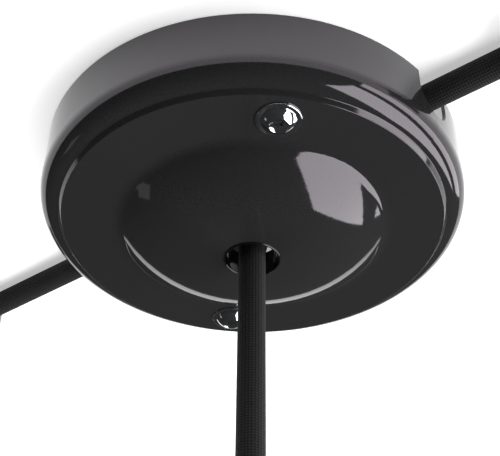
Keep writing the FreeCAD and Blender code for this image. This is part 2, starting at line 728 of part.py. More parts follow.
def rounded_path(points, share=0.45):
    """A wire of straight runs joined by tangent arcs as large as the runs allow."""
    edges, radii, start = [], [], points[0]
    for index in range(1, len(points) - 1):
        before, corner, after = points[index - 1], points[index], points[index + 1]
        back, ahead = (before - corner), (after - corner)
        reach = share * min(back.Length, ahead.Length)
        back.normalize()
        ahead.normalize()
        half = math.acos(max(-1.0, min(1.0, back.dot(ahead)))) / 2
        radius = reach * math.tan(half)
        first, last = corner + back * reach, corner + ahead * reach
        bisector = (back + ahead).normalize()
        middle = corner + bisector * (radius / math.sin(half) - radius)
        edges.append(Part.LineSegment(start, first).toShape())
        edges.append(Part.Arc(first, middle, last).toShape())
        radii.append(radius)
        start = last
    edges.append(Part.LineSegment(start, points[-1]).toShape())
    return Part.Wire(edges), radii


def make_wire(label, points):
    """An insulated wire along a route, with its bare copper end in a terminal."""
    path, radii = rounded_path(points)
    direction = points[1] - points[0]
    ring = Part.Wire([Part.Circle(points[0], direction, value("wire_diameter / 2")).toShape()])
    tube = path.makePipeShell([ring], True, False)
    tip = Part.makeCylinder(value("wire_copper / 2"), value("0.6 * (block_bottom - block_top)"), points[-1], V(0, 0, -1))
    feature = doc.addObject("Part::Feature", "Wire")
    feature.Shape = tube.fuse(tip)
    expected = path.Length * math.pi * value("wire_diameter / 2") ** 2
    print(f"{label}: length {path.Length:.1f}, radii {[round(radius, 1) for radius in radii]},"
          f" volume ratio {tube.Volume / expected:.3f}")
    return keep(feature, label)


def make_wires():
    """Two wires from each cord, bent over into the terminals from above."""
    level = -value("cord_drop")
    bend = level - value("wire_dip")
    spread = value("wire_spread")
    start = value(CORD_START)
    mouth = -value("block_top + bar_cover")

    def terminal(pole):
        along, across = pole * value("pole_pitch"), -value("pole_distance")
        return V((along + across) * HALF, (across - along) * HALF, 0)

    def entry(pole, dip):
        spot = terminal(pole)
        return [V(spot.x, spot.y, bend - dip), V(spot.x, spot.y, mouth)]

    def side_wire(label, sense, side, lead, knees, pole):
        first = [V(sense * start, side * spread, level), V(sense * (start - lead), side * spread, level)]
        turns = [V(sense * value(along), value(across), level) for along, across in knees]
        make_wire(label, first + turns + entry(pole, 0))

    lead, dip = value("wire_lead"), value("wire_dip")
    side_wire("left_neutral_wire", -1, -1, lead, [("left_neutral_knee", "-left_neutral_side")], -2.5)
    side_wire("left_line_wire", -1, 1, lead, [("left_line_knee", "left_line_side")], -1.5)
    for label, pole, side in (("centre_neutral_wire", -0.5, -1), ("centre_line_wire", 0.5, 1)):
        x = side * spread * HALF
        make_wire(label, [V(x, -x, -value("centre_cord_top")), V(x, -x, bend - dip)] + entry(pole, dip))
    side_wire("right_neutral_wire", 1, 1, lead + 1, [("right_neutral_knee", "-right_neutral_side"),
                                                     ("right_neutral_turn", "-right_neutral_back")], 1.5)
    side_wire("right_line_wire", 1, -1, lead + 1, [("right_line_knee", "-right_line_side"),
                                                   ("right_line_turn", "-right_line_back")], 2.5)


def make_cord(label, length, rotation=None, **where):
    """A straight stretch of round textile cord."""
    cord = keep(doc.addObject("Part::Cylinder", "Cord"), label)
    tie(cord, Radius=CORD_RADIUS, Height=length)
    place(cord, rotation=rotation, **where)


def make_cords():
    along_x = FreeCAD.Rotation(V(0, 1, 0), 90)
    make_cord("right_cord", f"right_cord_end - {CORD_START}", along_x, x=CORD_START, z="-cord_drop")
    make_cord("left_cord", f"left_cord_end - {CORD_START}", along_x, x="-left_cord_end", z="-cord_drop")
    make_cord("centre_cord", "centre_cord_end - centre_cord_top", z="-centre_cord_end")


def make_anchor(label, end, sense):
    """Ceiling anchor at a side cord's far end: a turned cup with a slot for the cord
    and a countersunk hole for its own fixing screw."""
    body = new_body(label)
    place(body, f"{sense} * {end}", rotation=FreeCAD.Rotation(V(0, 0, 1), 0 if sense > 0 else 180))
    radius = "(anchor_diameter / 2)"
    revolve(body, [("0", "0"), (radius, "0"), (radius, "anchor_round - anchor_height"),
                   (f"{radius} - anchor_round", "-anchor_height", "anchor_round", -1), ("0", "-anchor_height")])
    half = "(anchor_slot / 2)"
    sketch = new_sketch(body, "YZ_Plane")
    low = f"-cord_drop"
    outline(sketch, [(f"-{half}", "anchor_round"), (f"-{half}", low), ("0", f"{low} - {half}", half, 1),
                     (half, low, half, 1), (half, "anchor_round")])
    slot = body.newObject("PartDesign::Pocket", "Slot")
    slot.Profile = sketch
    slot.Type = "ThroughAll"
    cut_through(body, "XY_Plane", rounds=[("anchor_hole_offset", "0", "anchor_hole")])


def make_tails():
    """The two cores that stand out of the hanging cord's end, with ferrules."""
    for label, side in (("tail_neutral", -1), ("tail_line", 1)):
        x, y = diagonal(f"{side} * tail_spread", "0")
        core = keep(doc.addObject("Part::Cylinder", "Core"), f"{label}_core")
        tie(core, Radius="wire_diameter / 2", Height="tail_length")
        place(core, x, y, "-centre_cord_end - tail_length")
        body = new_body(f"{label}_ferrule")
        place(body, x, y, "-centre_cord_end - tail_length")
        collar, tube = "(wire_diameter / 2 + ferrule_wall)", "(wire_copper / 2 + ferrule_wall)"
        revolve(body, [("0", "0"), (collar, "0"), (collar, "-ferrule_collar / 2"), (tube, "-ferrule_collar"),
                       (tube, "-ferrule_length"), ("0", "-ferrule_length")])


def build():
    """Fill the sheet, model every piece, check them all and write their files."""
    for row, (alias, number) in enumerate(SIZES.items(), start=1):
        sheet.set(f"A{row}", alias)
        sheet.set(f"B{row}", str(number))
        sheet.setAlias(f"B{row}", alias)
    doc.recompute()
    make_cover()
    make_plate()
    for label, sense in (("front", 1), ("rear", -1)):
        make_cover_screw(f"{label}_cover_screw", sense)
        make_washer(f"{label}_screw_washer", "cover_shank", "washer_diameter", x=f"{sense} * {SCREW_CIRCLE} * cos(45)",
                    y=f"{-sense} * {SCREW_CIRCLE} * cos(45)", z=f"-{FACE_DROP} - washer_height")
    make_bush()
    make_nut()
    lug = lug_offset("cord_arm_width")
    grip = "plate_gauge + saddle_gauge"
    for label, sense in (("right", 1), ("left", -1)):
        make_saddle(f"{label}_cord_saddle", SIDE_RISE, "cord_arm_width", "saddle_length",
                    x=f"{sense} * {SADDLE_SPOT}", z="-cord_drop")
        for number, side in ((1, 1), (2, -1)):
            make_screw(f"{label}_saddle_screw_{number}", "small_shank", grip, "small_head", "small_head_height",
                       "small_slot", x=f"{sense} * {SADDLE_SPOT}", y=f"{side} * {lug}", z=f"-({grip})")
    make_saddle("centre_cord_saddle", CORD_RADIUS, "centre_saddle_width", "centre_saddle_length",
                z="-centre_saddle_drop", rotation=turn_to((0, 0, 1), FRONT, BACK_RIGHT))
    lug = lug_offset("centre_saddle_width")
    for number, side in ((1, 1), (2, -1)):
        x, y = diagonal(f"{side} * {lug}", f"{CORD_RADIUS} - saddle_gauge")
        make_screw(f"centre_saddle_screw_{number}", "small_shank", grip, "small_head", "small_head_height",
                   "small_slot", x=x, y=y, z="-centre_saddle_drop", rotation=turn_to((0, 0, 1), FRONT, BACK_RIGHT))
    make_terminals()
    make_terminal_screws()
    for number, side in ((1, 1), (2, -1)):
        x, y = diagonal(f"{side} * block_screw_pitch / 2", "-block_front")
        make_screw(f"block_screw_{number}", "small_shank", "block_back - block_front + plate_gauge", "small_head",
                   "small_head_height", "small_slot", x=x, y=y, z="-(block_top + block_bottom) / 2",
                   rotation=FreeCAD.Rotation(V(0, 0, 1), V(*BACK_LEFT)))
    x, y = diagonal("0", "earth_distance")
    make_washer("earth_washer", "earth_shank", "earth_washer", x=x, y=y, z="-plate_gauge - washer_height")
    make_screw("earth_screw", "earth_shank", "plate_gauge + washer_height", "earth_head", "small_head_height",
               "small_slot", x=x, y=y, z="-plate_gauge - washer_height")
    make_cords()
    make_wires()
    make_anchor("right_cord_anchor", "right_cord_end", 1)
    make_anchor("left_cord_anchor", "left_cord_end", -1)
    make_tails()
    doc.recompute()
    write()


def write():
    """Check every object, then write one file for each piece."""
    for thing in doc.Objects:
        if "Invalid" in thing.State or "Error" in thing.State:
            raise RuntimeError(f"{thing.Label} ({thing.Name}) failed: {thing.State}")
    os.makedirs("parts", exist_ok=True)
    for thing in nodes:
        shape = thing.Shape
        if shape.isNull() or not shape.isValid():
            raise RuntimeError(f"{thing.Label} has no valid shape")
        shape.exportStep(f"parts/{thing.Label}.step")
        print(f"{thing.Label}: {len(shape.Solids)} solid, {shape.Volume:.1f} mm3")
    print(len(nodes), "pieces")


build()
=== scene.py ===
"""Studio scene for a black enamelled ceiling rose with two side cords and a hanging cord.

The rose hangs under a white ceiling plane at Z = 0, and the camera looks up at it from
below.  Lengths are in metres, or in millimetres where a name ends in _mm.  Angles in
the classes' fields are in degrees.
"""
import logging
import math
from contextlib import contextmanager
from dataclasses import dataclass, field
from enum import Enum
from typing import Any, Callable, Iterable, Iterator

import bpy
from mathutils import Matrix, Quaternion, Vector


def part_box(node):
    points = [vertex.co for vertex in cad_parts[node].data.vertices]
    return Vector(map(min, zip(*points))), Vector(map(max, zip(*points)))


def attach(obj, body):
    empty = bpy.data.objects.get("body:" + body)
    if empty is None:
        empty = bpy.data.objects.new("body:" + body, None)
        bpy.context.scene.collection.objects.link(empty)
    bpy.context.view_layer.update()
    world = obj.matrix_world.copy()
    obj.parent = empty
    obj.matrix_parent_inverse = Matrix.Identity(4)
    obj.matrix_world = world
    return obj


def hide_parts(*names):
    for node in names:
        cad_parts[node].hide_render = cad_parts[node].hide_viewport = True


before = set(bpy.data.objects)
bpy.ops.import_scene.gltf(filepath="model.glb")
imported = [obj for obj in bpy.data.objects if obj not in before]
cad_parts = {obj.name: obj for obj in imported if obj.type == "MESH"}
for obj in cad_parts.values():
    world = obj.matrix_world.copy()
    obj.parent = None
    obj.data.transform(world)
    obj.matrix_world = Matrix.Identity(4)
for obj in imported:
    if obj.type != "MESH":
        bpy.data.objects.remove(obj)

LOG = logging.getLogger("ceiling_rose")
MM = 0.001
NOISE_RANGE = (0.3, 0.7)
WHITE = (1.0, 1.0, 1.0, 1.0)
Point = tuple[float, float, float]
Socket = bpy.types.NodeSocket
Tree = bpy.types.NodeTree


class Axis(Enum):
    """The line that a cord follows."""

    X = "X"
    Z = "Z"


def linear(hex_value: str) -> tuple[float, float, float, float]:
    """Turn an sRGB hex colour into linear light.

    Args:
        hex_value: six hex digits, with or without a leading hash.

    Returns:
        The linear red, green, blue and an alpha of 1.
    """
    digits = hex_value.lstrip("#")
    parts = [int(digits[i:i + 2], 16) / 255 for i in (0, 2, 4)]
    red, green, blue = [p / 12.92 if p <= 0.04045 else ((p + 0.055) / 1.055) ** 2.4 for p in parts]
    return red, green, blue, 1.0


def add_node(tree: Tree, kind: str, inputs: dict[Any, Any] | None = None,
             **settings: Any) -> bpy.types.Node:
    """Add a node, set its properties, and set or link its inputs.

    Args:
        tree: the node tree it goes in.
        kind: the node's type name.
        inputs: input name or index to a value, or to the output socket that feeds it.
        **settings: properties of the node itself.

    Returns:
        The new node.
    """
    node = tree.nodes.new(kind)
    for name, setting in settings.items():
        setattr(node, name, setting)
    for name, item in (inputs or {}).items():
        if isinstance(item, Socket):
            tree.links.new(item, node.inputs[name])
        else:
            node.inputs[name].default_value = item
    return node


def math_node(tree: Tree, operation: str, first: Socket | float,
              second: Socket | float = 0.0) -> Socket:
    """Combine two values, or work on one.

    Args:
        tree: the node tree.
        operation: what the Math node does.
        first: the first value.
        second: the second value, which some operations don't use.

    Returns:
        The result.
    """
    return add_node(tree, "ShaderNodeMath", {0: first, 1: second}, operation=operation).outputs[0]


def ramp(tree: Tree, source: Socket, stops: Iterable[tuple[float, str]]) -> Socket:
    """Map a value to colours through a colour ramp.

    Args:
        tree: the node tree.
        source: the value that drives the ramp.
        stops: pairs of position and sRGB hex colour, in order.

    Returns:
        The ramp's colour output.
    """
    node = add_node(tree, "ShaderNodeValToRGB", {"Fac": source})
    elements = node.color_ramp.elements
    for index, (position, colour) in enumerate(stops):
        element = elements[index] if index < 2 else elements.new(position)
        element.position = position
        element.color = linear(colour)
    return node.outputs["Color"]


def noise(tree: Tree, grain_mm: Point | float, detail: float) -> Socket:
    """Make noise on Object coordinates whose grain has a real size.

    Args:
        tree: the node tree.
        grain_mm: the grain's size in millimetres, one for all axes or one for each.
        detail: how many finer layers the noise has.

    Returns:
        The noise's value output.
    """
    sizes = grain_mm if isinstance(grain_mm, tuple) else (grain_mm,) * 3
    scale = [1 / (size * MM) for size in sizes]
    place = add_node(tree, "ShaderNodeTexCoord").outputs["Object"]
    scaled = add_node(tree, "ShaderNodeMapping", {"Vector": place, "Scale": scale})
    settings = {"Vector": scaled.outputs["Vector"], "Scale": 1.0, "Detail": detail}
    return add_node(tree, "ShaderNodeTexNoise", settings).outputs["Fac"]


def remap(tree: Tree, source: Socket, ends: tuple[float, float],
          limits: tuple[float, float] = NOISE_RANGE) -> Socket:
    """Map a value from one range on to another, and hold it at the ends.

    Args:
        tree: the node tree.
        source: the value.
        ends: what the limits become.
        limits: the range that the value comes from, by default a noise's usual one.

    Returns:
        The mapped value.
    """
    settings = {"Value": source, "From Min": limits[0], "From Max": limits[1],
                "To Min": ends[0], "To Max": ends[1]}
    return add_node(tree, "ShaderNodeMapRange", settings).outputs["Result"]


def bump(tree: Tree, height: Socket, depth_mm: float) -> Socket:
    """Turn a height into a normal.

    Args:
        tree: the node tree.
        height: the height, from 0 to 1.
        depth_mm: how deep a height of 1 is, in millimetres.

    Returns:
        The normal output.
    """
    settings = {"Height": height, "Distance": depth_mm * MM}
    return add_node(tree, "ShaderNodeBump", settings).outputs["Normal"]


def feed(tree: Tree, shader: bpy.types.Node, sources: dict[str, Socket]) -> None:
    """Link outputs to a shader's inputs.

    Args:
        tree: the node tree.
        shader: the shader.
        sources: input name to the output socket that feeds it.
    """
    for name, source in sources.items():
        tree.links.new(source, shader.inputs[name])


@dataclass(frozen=True)
class Finish:
    """A finish: what a surface is made of and how it was worked.

    The wear is the range that the roughness varies in, as shares of the roughness.
    """

    name: str
    roughness: float = 0.4
    metallic: float = 0.0
    ior: float = 1.5
    wear: tuple[float, float] = (0.85, 1.15)

    def material(self) -> bpy.types.Material:
        """Build the node material.

        Returns:
            The material, with its nodes and links made.
        """
        made = bpy.data.materials.new(self.name)
        made.use_nodes = True
        tree = made.node_tree
        shader = tree.nodes["Principled BSDF"]
        shader.inputs["Roughness"].default_value = self.roughness
        shader.inputs["Metallic"].default_value = self.metallic
        if self.metallic == 0:
            shader.inputs["IOR"].default_value = self.ior
        self.dress(tree, shader)
        return made

    def dress(self, tree: Tree, shader: bpy.types.Node) -> None:
        """Add the finish's own pattern; each finish has its own.

        Args:
            tree: the material's node tree.
            shader: its Principled node.
        """
        raise NotImplementedError

    def worn(self, tree: Tree, source: Socket) -> Socket:
        """Vary the roughness within the wear.

        Args:
            tree: the material's node tree.
            source: the noise that it varies with.

        Returns:
            The varied roughness.
        """
        low, high = self.wear
        return remap(tree, source, (self.roughness * low, self.roughness * high))


@dataclass(frozen=True)
class StovedEnamel(Finish):
    """Black enamel sprayed on pressed steel and stoved: a deep mirror-like gloss with a
    faint orange peel, so reflections have crisp but slightly uneven edges."""

    wear: tuple[float, float] = (0.8, 1.3)
    colour: str = "#212122"
    dusty: str = "#262627"
    sheen: str = "#FFF6FF"
    peel_mm: float = 3.0
    peel_depth_mm: float = 0.0012
    dust_mm: float = 0.5
    dust_range: tuple[float, float] = (0.3, 0.75)

    def dress(self, tree: Tree, shader: bpy.types.Node) -> None:
        """Add the orange peel and a film of dust to the gloss.

        Args:
            tree: the material's node tree.
            shader: its Principled node.
        """
        peel = noise(tree, self.peel_mm, detail=1.0)
        dust = noise(tree, self.dust_mm, detail=4.0)
        feed(tree, shader, {
            "Base Color": ramp(tree, dust, zip(self.dust_range, (self.colour, self.dusty))),
            "Roughness": self.worn(tree, dust),
            "Normal": bump(tree, peel, self.peel_depth_mm),
        })
        shader.inputs["Specular Tint"].default_value = linear(self.sheen)


@dataclass(frozen=True)
class ZincPlating(Finish):
    """Electroplated zinc on rolled steel strip: a soft bluish satin with streaks along
    the rolling direction."""

    wear: tuple[float, float] = (0.75, 1.25)
    colour: str = "#B9BDC0"
    dull: str = "#A3A8AC"
    streak_mm: Point = (6.0, 0.35, 2.0)
    streak_depth_mm: float = 0.006
    blotch_mm: float = 7.0

    def dress(self, tree: Tree, shader: bpy.types.Node) -> None:
        """Add the rolling streaks and the plating's uneven tone.

        Args:
            tree: the material's node tree.
            shader: its Principled node.
        """
        streaks = noise(tree, self.streak_mm, detail=4.0)
        blotches = noise(tree, self.blotch_mm, detail=3.0)
        feed(tree, shader, {
            "Base Color": ramp(tree, blotches, zip(NOISE_RANGE, (self.dull, self.colour))),
            "Roughness": self.worn(tree, streaks),
            "Normal": bump(tree, streaks, self.streak_depth_mm),
        })


@dataclass(frozen=True)
class BrightMetal(Finish):
    """Turned or plated metal, polished: clear reflections broken by fine hairlines."""

    wear: tuple[float, float] = (0.7, 1.4)
    colour: str = "#E3E5E8"
    shade: str = "#CFD2D6"
    hairline_mm: Point = (0.25, 3.0, 3.0)
    hairline_depth_mm: float = 0.0012
    tarnish_mm: float = 4.0

    def dress(self, tree: Tree, shader: bpy.types.Node) -> None:
        """Add the hairlines and a faint tarnish.

        Args:
            tree: the material's node tree.
            shader: its Principled node.
        """
        lines = noise(tree, self.hairline_mm, detail=5.0)
        tarnish = noise(tree, self.tarnish_mm, detail=3.0)
        feed(tree, shader, {
            "Base Color": ramp(tree, tarnish, zip(NOISE_RANGE, (self.shade, self.colour))),
            "Roughness": self.worn(tree, lines),
            "Normal": bump(tree, lines, self.hairline_depth_mm),
        })


@dataclass(frozen=True)
class MouldedPlastic(Finish):
    """Moulded plastic: an even colour with the mould's fine spark-eroded texture."""

    colour: str = "#E8E6DE"
    deep: str = "#DDDAD0"
    texture_mm: float = 0.3
    texture_depth_mm: float = 0.01
    drift_mm: float = 9.0

    def dress(self, tree: Tree, shader: bpy.types.Node) -> None:
        """Add the mould texture and a slight drift of colour.

        Args:
            tree: the material's node tree.
            shader: its Principled node.
        """
        texture = noise(tree, self.texture_mm, detail=2.0)
        drift = noise(tree, self.drift_mm, detail=2.0)
        feed(tree, shader, {
            "Base Color": ramp(tree, drift, zip(NOISE_RANGE, (self.deep, self.colour))),
            "Roughness": self.worn(tree, texture),
            "Normal": bump(tree, texture, self.texture_depth_mm),
        })


@dataclass(frozen=True)
class ExtrudedInsulation(Finish):
    """Soft insulation extruded on a core: a waxy sheen on a slightly wavy surface."""

    wear: tuple[float, float] = (0.85, 1.2)
    colour: str = "#1B4F9C"
    deep: str = "#163F80"
    wave_mm: float = 1.6
    wave_depth_mm: float = 0.02

    def dress(self, tree: Tree, shader: bpy.types.Node) -> None:
        """Add the extrusion's slight waviness.

        Args:
            tree: the material's node tree.
            shader: its Principled node.
        """
        wave = noise(tree, self.wave_mm, detail=2.0)
        feed(tree, shader, {
            "Base Color": ramp(tree, wave, zip(NOISE_RANGE, (self.deep, self.colour))),
            "Roughness": self.worn(tree, wave),
            "Normal": bump(tree, wave, self.wave_depth_mm),
        })


@dataclass(frozen=True)
class KnittedSleeve(Finish):
    """Black rayon sleeve knitted round two cores: straight columns of small stitches
    along the cord, each stitch with a painted highlight along its crown and painted shade
    in the gaps between stitches."""

    # The two colours below: the black painted in the gaps between stitches as painted shade, and
    # the lighter colour painted on each stitch's crown as a painted highlight.
    colour: str = "#020203"
    painted_crown_highlight: str = "#272729"
    tone_range: tuple[float, float] = (0.25, 0.75)
    axis: Axis = Axis.X
    centre_mm: float = 0.0
    columns: int = 28
    stitch_mm: float = 0.75
    slant: float = 0.6
    column_curve: float = 0.6
    seam_height: float = 0.25
    fuzz_mm: float = 0.25
    fuzz_share: float = 0.2
    depth_mm: float = 0.2
    sheen: float = 0.05
    sheen_roughness: float = 0.4

    def dress(self, tree: Tree, shader: bpy.types.Node) -> None:
        """Add the columns, their stitches, a painted highlight on each crown with painted shade
        between the stitches, and the rayon's sheen.

        Args:
            tree: the material's node tree.
            shader: its Principled node.
        """
        fuzz = noise(tree, self.fuzz_mm, detail=3.0)
        mixed = math_node(tree, "ADD",
                          math_node(tree, "MULTIPLY", self.knit(tree), 1 - self.fuzz_share),
                          math_node(tree, "MULTIPLY", fuzz, self.fuzz_share))
        feed(tree, shader, {
            # The colour follows the stitch height: painted highlight on the crowns, painted shade
            # in the gaps, with the fuzz's random tone mixed in.
            "Base Color": ramp(tree, mixed, zip(self.tone_range, (self.colour, self.painted_crown_highlight))),
            "Normal": bump(tree, mixed, self.depth_mm),
        })
        shader.inputs["Sheen Weight"].default_value = self.sheen
        shader.inputs["Sheen Roughness"].default_value = self.sheen_roughness

    def knit(self, tree: Tree) -> Socket:
        """Work out the height of the stitches.

        Args:
            tree: the material's node tree.

        Returns:
            The height, from 0 to 1.
        """
        place = add_node(tree, "ShaderNodeTexCoord").outputs["Object"]
        parts = add_node(tree, "ShaderNodeSeparateXYZ", {"Vector": place}).outputs
        if self.axis is Axis.X:
            along, side = parts["X"], parts["Y"]
            up = math_node(tree, "SUBTRACT", parts["Z"], self.centre_mm * MM)
        else:
            along, side, up = parts["Z"], parts["X"], parts["Y"]
        around = math_node(tree, "ARCTAN2", side, up)
        turn = math_node(tree, "MULTIPLY", around, self.columns / 2)
        column = math_node(tree, "ABSOLUTE", math_node(tree, "SINE", turn))
        climb = math_node(tree, "MULTIPLY", along, math.pi / (self.stitch_mm * MM))
        slanted = math_node(tree, "ADD", climb, math_node(tree, "MULTIPLY", column, self.slant))
        stitch = math_node(tree, "ABSOLUTE", math_node(tree, "SINE", slanted))
        swell = math_node(tree, "MULTIPLY", stitch, 1 - self.seam_height)
        raised = math_node(tree, "ADD", swell, self.seam_height)
        return math_node(tree, "MULTIPLY",
                         math_node(tree, "POWER", column, self.column_curve), raised)


@dataclass
class Photographer:
    """The camera, at the place and angle that the photograph was taken from."""

    place_mm: Point = (138.23, -183.43, -200.34)
    pitch: float = 37.976
    heading: float = 37.0
    yaw: float = -0.161
    roll: float = 0.517
    focal_px: float = 1030.657
    width_px: float = 500.0
    sensor_width_mm: float = 36.0
    nearest: float = 0.005
    farthest: float = 50.0

    def shoot(self) -> bpy.types.Object:
        """Make the camera and use it.

        Returns:
            The camera.
        """
        data = bpy.data.cameras.new("camera")
        data.sensor_width = self.sensor_width_mm
        data.sensor_fit = "HORIZONTAL"
        data.lens = self.focal_px / self.width_px * data.sensor_width
        data.clip_start, data.clip_end = self.nearest, self.farthest
        camera = bpy.data.objects.new("camera", data)
        bpy.context.scene.collection.objects.link(camera)
        camera.matrix_world = Matrix.Translation([c * MM for c in self.place_mm]) @ self.axes()
        bpy.context.scene.camera = camera
        return camera

    def axes(self) -> Matrix:
        """Work out which way the camera points.

        Returns:
            The turn from the camera's own axes to the scene's.
        """
        pitch, yaw, roll = (math.radians(a) for a in (self.pitch, self.yaw, self.roll))
        ahead = Vector((math.sin(yaw) * math.cos(pitch), math.cos(yaw) * math.cos(pitch),
                        math.sin(pitch)))
        right = Vector((math.cos(yaw), -math.sin(yaw), 0))
        up = right.cross(ahead)
        across = math.cos(roll) * right + math.sin(roll) * up
        upright = -math.sin(roll) * right + math.cos(roll) * up
        turn = Matrix.Rotation(math.radians(self.heading), 3, "Z")
        return Matrix([turn @ across, turn @ upright, -(turn @ ahead)]).transposed().to_4x4()


@dataclass
class Softbox:
    """A rectangular light.

    It shines against the direction that heading and tilt give, and radiance is how
    bright its surface is.  One that isn't mirrored doesn't show in reflections.
    """

    name: str
    place: Point
    heading: float
    tilt: float
    size: tuple[float, float]
    radiance: float
    roll: float = 0.0
    mirrored: bool = True

    def switch_on(self) -> bpy.types.Object:
        """Make the light.

        Returns:
            The light.
        """
        data = bpy.data.lights.new(self.name, "AREA")
        data.shape = "RECTANGLE"
        data.size, data.size_y = self.size
        # An area light's radiance is its energy over four times its area.
        data.energy = 4 * self.radiance * self.size[0] * self.size[1]
        lamp = bpy.data.objects.new(self.name, data)
        lamp.visible_glossy = self.mirrored
        bpy.context.scene.collection.objects.link(lamp)
        around, above = math.radians(self.heading), math.radians(self.tilt)
        back = Vector((math.cos(around) * math.cos(above), math.sin(around) * math.cos(above),
                       math.sin(above)))
        spin = Quaternion((0, 0, 1), math.radians(self.roll))
        lamp.location = self.place
        lamp.rotation_euler = (back.to_track_quat("Z", "Y") @ spin).to_euler()
        return lamp


@contextmanager
def editing(everything: bool = True) -> Iterator[None]:
    """Edit the active object's mesh.

    Args:
        everything: whether all of it is selected first.

    Yields:
        Nothing; the mesh is in edit mode meanwhile.
    """
    bpy.ops.object.mode_set(mode="EDIT")
    if everything:
        bpy.ops.mesh.select_all(action="SELECT")
    yield
    bpy.ops.object.mode_set(mode="OBJECT")


def added(operator: Callable[..., Any], **settings: Any) -> bpy.types.Object:
    """Deselect everything, and run an operator that adds an object.

    Args:
        operator: the operator.
        **settings: its settings.

    Returns:
        The new object, which is active and the only one selected.
    """
    bpy.ops.object.select_all(action="DESELECT")
    operator(**settings)
    return bpy.context.object


@dataclass
class Studio:
    """The ceiling that the rose hangs from, the room's light and the lamps.

    The ceiling shows brighter to the camera than its paint is lit, and its mirror image
    glows too but fades between the two distances of glow_edge from the rose's middle.
    The room is white to the camera.  To surfaces it is a soft grey that brightens
    towards light_side, and reflections show it dimmer by mirror_dimming.
    """

    ceiling_size: float = 12.0
    ceiling_gap: float = 0.0002
    ceiling_paint: float = 0.82
    ceiling_glow: float = 0.45
    mirrored_glow: float = 0.60
    glow_edge: tuple[float, float] = (0.072, 0.095)
    room_glow: tuple[float, float] = (0.09, 0.16)
    light_side: tuple[float, float] = (0.8, 0.6)
    mirror_dimming: float = 0.7
    lamps: list[Softbox] = field(default_factory=lambda: [
        Softbox("window", (0.810, 0.586, -1.35), 37.0, 0.0, (1.76, 1.45), 4.2, roll=1.0),
        Softbox("strip", (0.829, 0.562, -0.20), 37.0, 0.0, (1.60, 0.34), 3.6),
        Softbox("fill", (-0.85, 0.55, -1.20), 147.0, -50.0, (1.60, 1.60), 2.6, mirrored=False),
        Softbox("card", (-1.21, -0.44, -0.77), -162.0, -31.0, (0.26, 0.22), 0.34),
    ])

    def set_up(self) -> None:
        """Build the ceiling, the world and the lamps."""
        self.ceiling()
        self.world()
        for lamp in self.lamps:
            lamp.switch_on()

    def ceiling(self) -> bpy.types.Object:
        """Make the white ceiling, which can be looked through from above.

        Returns:
            The ceiling plane.
        """
        plane = added(bpy.ops.mesh.primitive_plane_add, size=self.ceiling_size,
                      location=(0, 0, self.ceiling_gap))
        plane.name = "ceiling"
        with editing():
            bpy.ops.mesh.flip_normals()
        bpy.ops.object.transform_apply(location=True, rotation=True, scale=True)
        made = bpy.data.materials.new("ceiling_paint")
        made.use_nodes = True
        tree = made.node_tree
        tree.nodes.clear()
        colour = (self.ceiling_paint, self.ceiling_paint, self.ceiling_paint, 1.0)
        paint = add_node(tree, "ShaderNodeBsdfDiffuse", {"Color": colour}).outputs[0]
        strength = {"Color": WHITE, "Strength": self.glow(tree)}
        glow = add_node(tree, "ShaderNodeEmission", strength).outputs[0]
        lit = add_node(tree, "ShaderNodeAddShader", {0: paint, 1: glow}).outputs[0]
        clear = add_node(tree, "ShaderNodeBsdfTransparent").outputs[0]
        back = add_node(tree, "ShaderNodeNewGeometry").outputs["Backfacing"]
        both = add_node(tree, "ShaderNodeMixShader", {0: back, 1: lit, 2: clear}).outputs[0]
        add_node(tree, "ShaderNodeOutputMaterial", {"Surface": both})
        plane.data.materials.append(made)
        return plane

    def glow(self, tree: Tree) -> Socket:
        """Work out how strongly the ceiling glows, by the kind of ray.

        Args:
            tree: the ceiling's node tree.

        Returns:
            The glow's strength.
        """
        rays = add_node(tree, "ShaderNodeLightPath").outputs
        direct = math_node(tree, "MAXIMUM", rays["Is Camera Ray"], rays["Is Transmission Ray"])
        place = add_node(tree, "ShaderNodeTexCoord").outputs["Object"]
        away = add_node(tree, "ShaderNodeVectorMath", {0: place}, operation="LENGTH")
        fading = remap(tree, away.outputs["Value"], (self.mirrored_glow, 0.0), self.glow_edge)
        return math_node(tree, "MAXIMUM",
                         math_node(tree, "MULTIPLY", direct, self.ceiling_glow),
                         math_node(tree, "MULTIPLY", rays["Is Glossy Ray"], fading))

    def world(self) -> None:
        """Make the room: white to the camera, and a soft grey gradient to the surfaces."""
        world = bpy.data.worlds.new("room")
        bpy.context.scene.world = world
        world.use_nodes = True
        tree = world.node_tree
        tree.nodes.clear()
        way = add_node(tree, "ShaderNodeTexCoord").outputs["Generated"]
        parts = add_node(tree, "ShaderNodeSeparateXYZ", {"Vector": way}).outputs
        side = math_node(tree, "ADD",
                         math_node(tree, "MULTIPLY", parts["X"], self.light_side[0]),
                         math_node(tree, "MULTIPLY", parts["Y"], self.light_side[1]))
        amount = remap(tree, side, self.room_glow, (-1.0, 1.0))
        rays = add_node(tree, "ShaderNodeLightPath").outputs
        loss = math_node(tree, "MULTIPLY", rays["Is Glossy Ray"], self.mirror_dimming)
        soft = math_node(tree, "MULTIPLY", amount, math_node(tree, "SUBTRACT", 1.0, loss))
        mix = {"Factor": rays["Is Camera Ray"], "A": soft, "B": 1.0}
        strength = add_node(tree, "ShaderNodeMix", mix).outputs["Result"]
        glow = {"Color": WHITE, "Strength": strength}
        ground = add_node(tree, "ShaderNodeBackground", glow).outputs[0]
        add_node(tree, "ShaderNodeOutputWorld", {"Surface": ground})


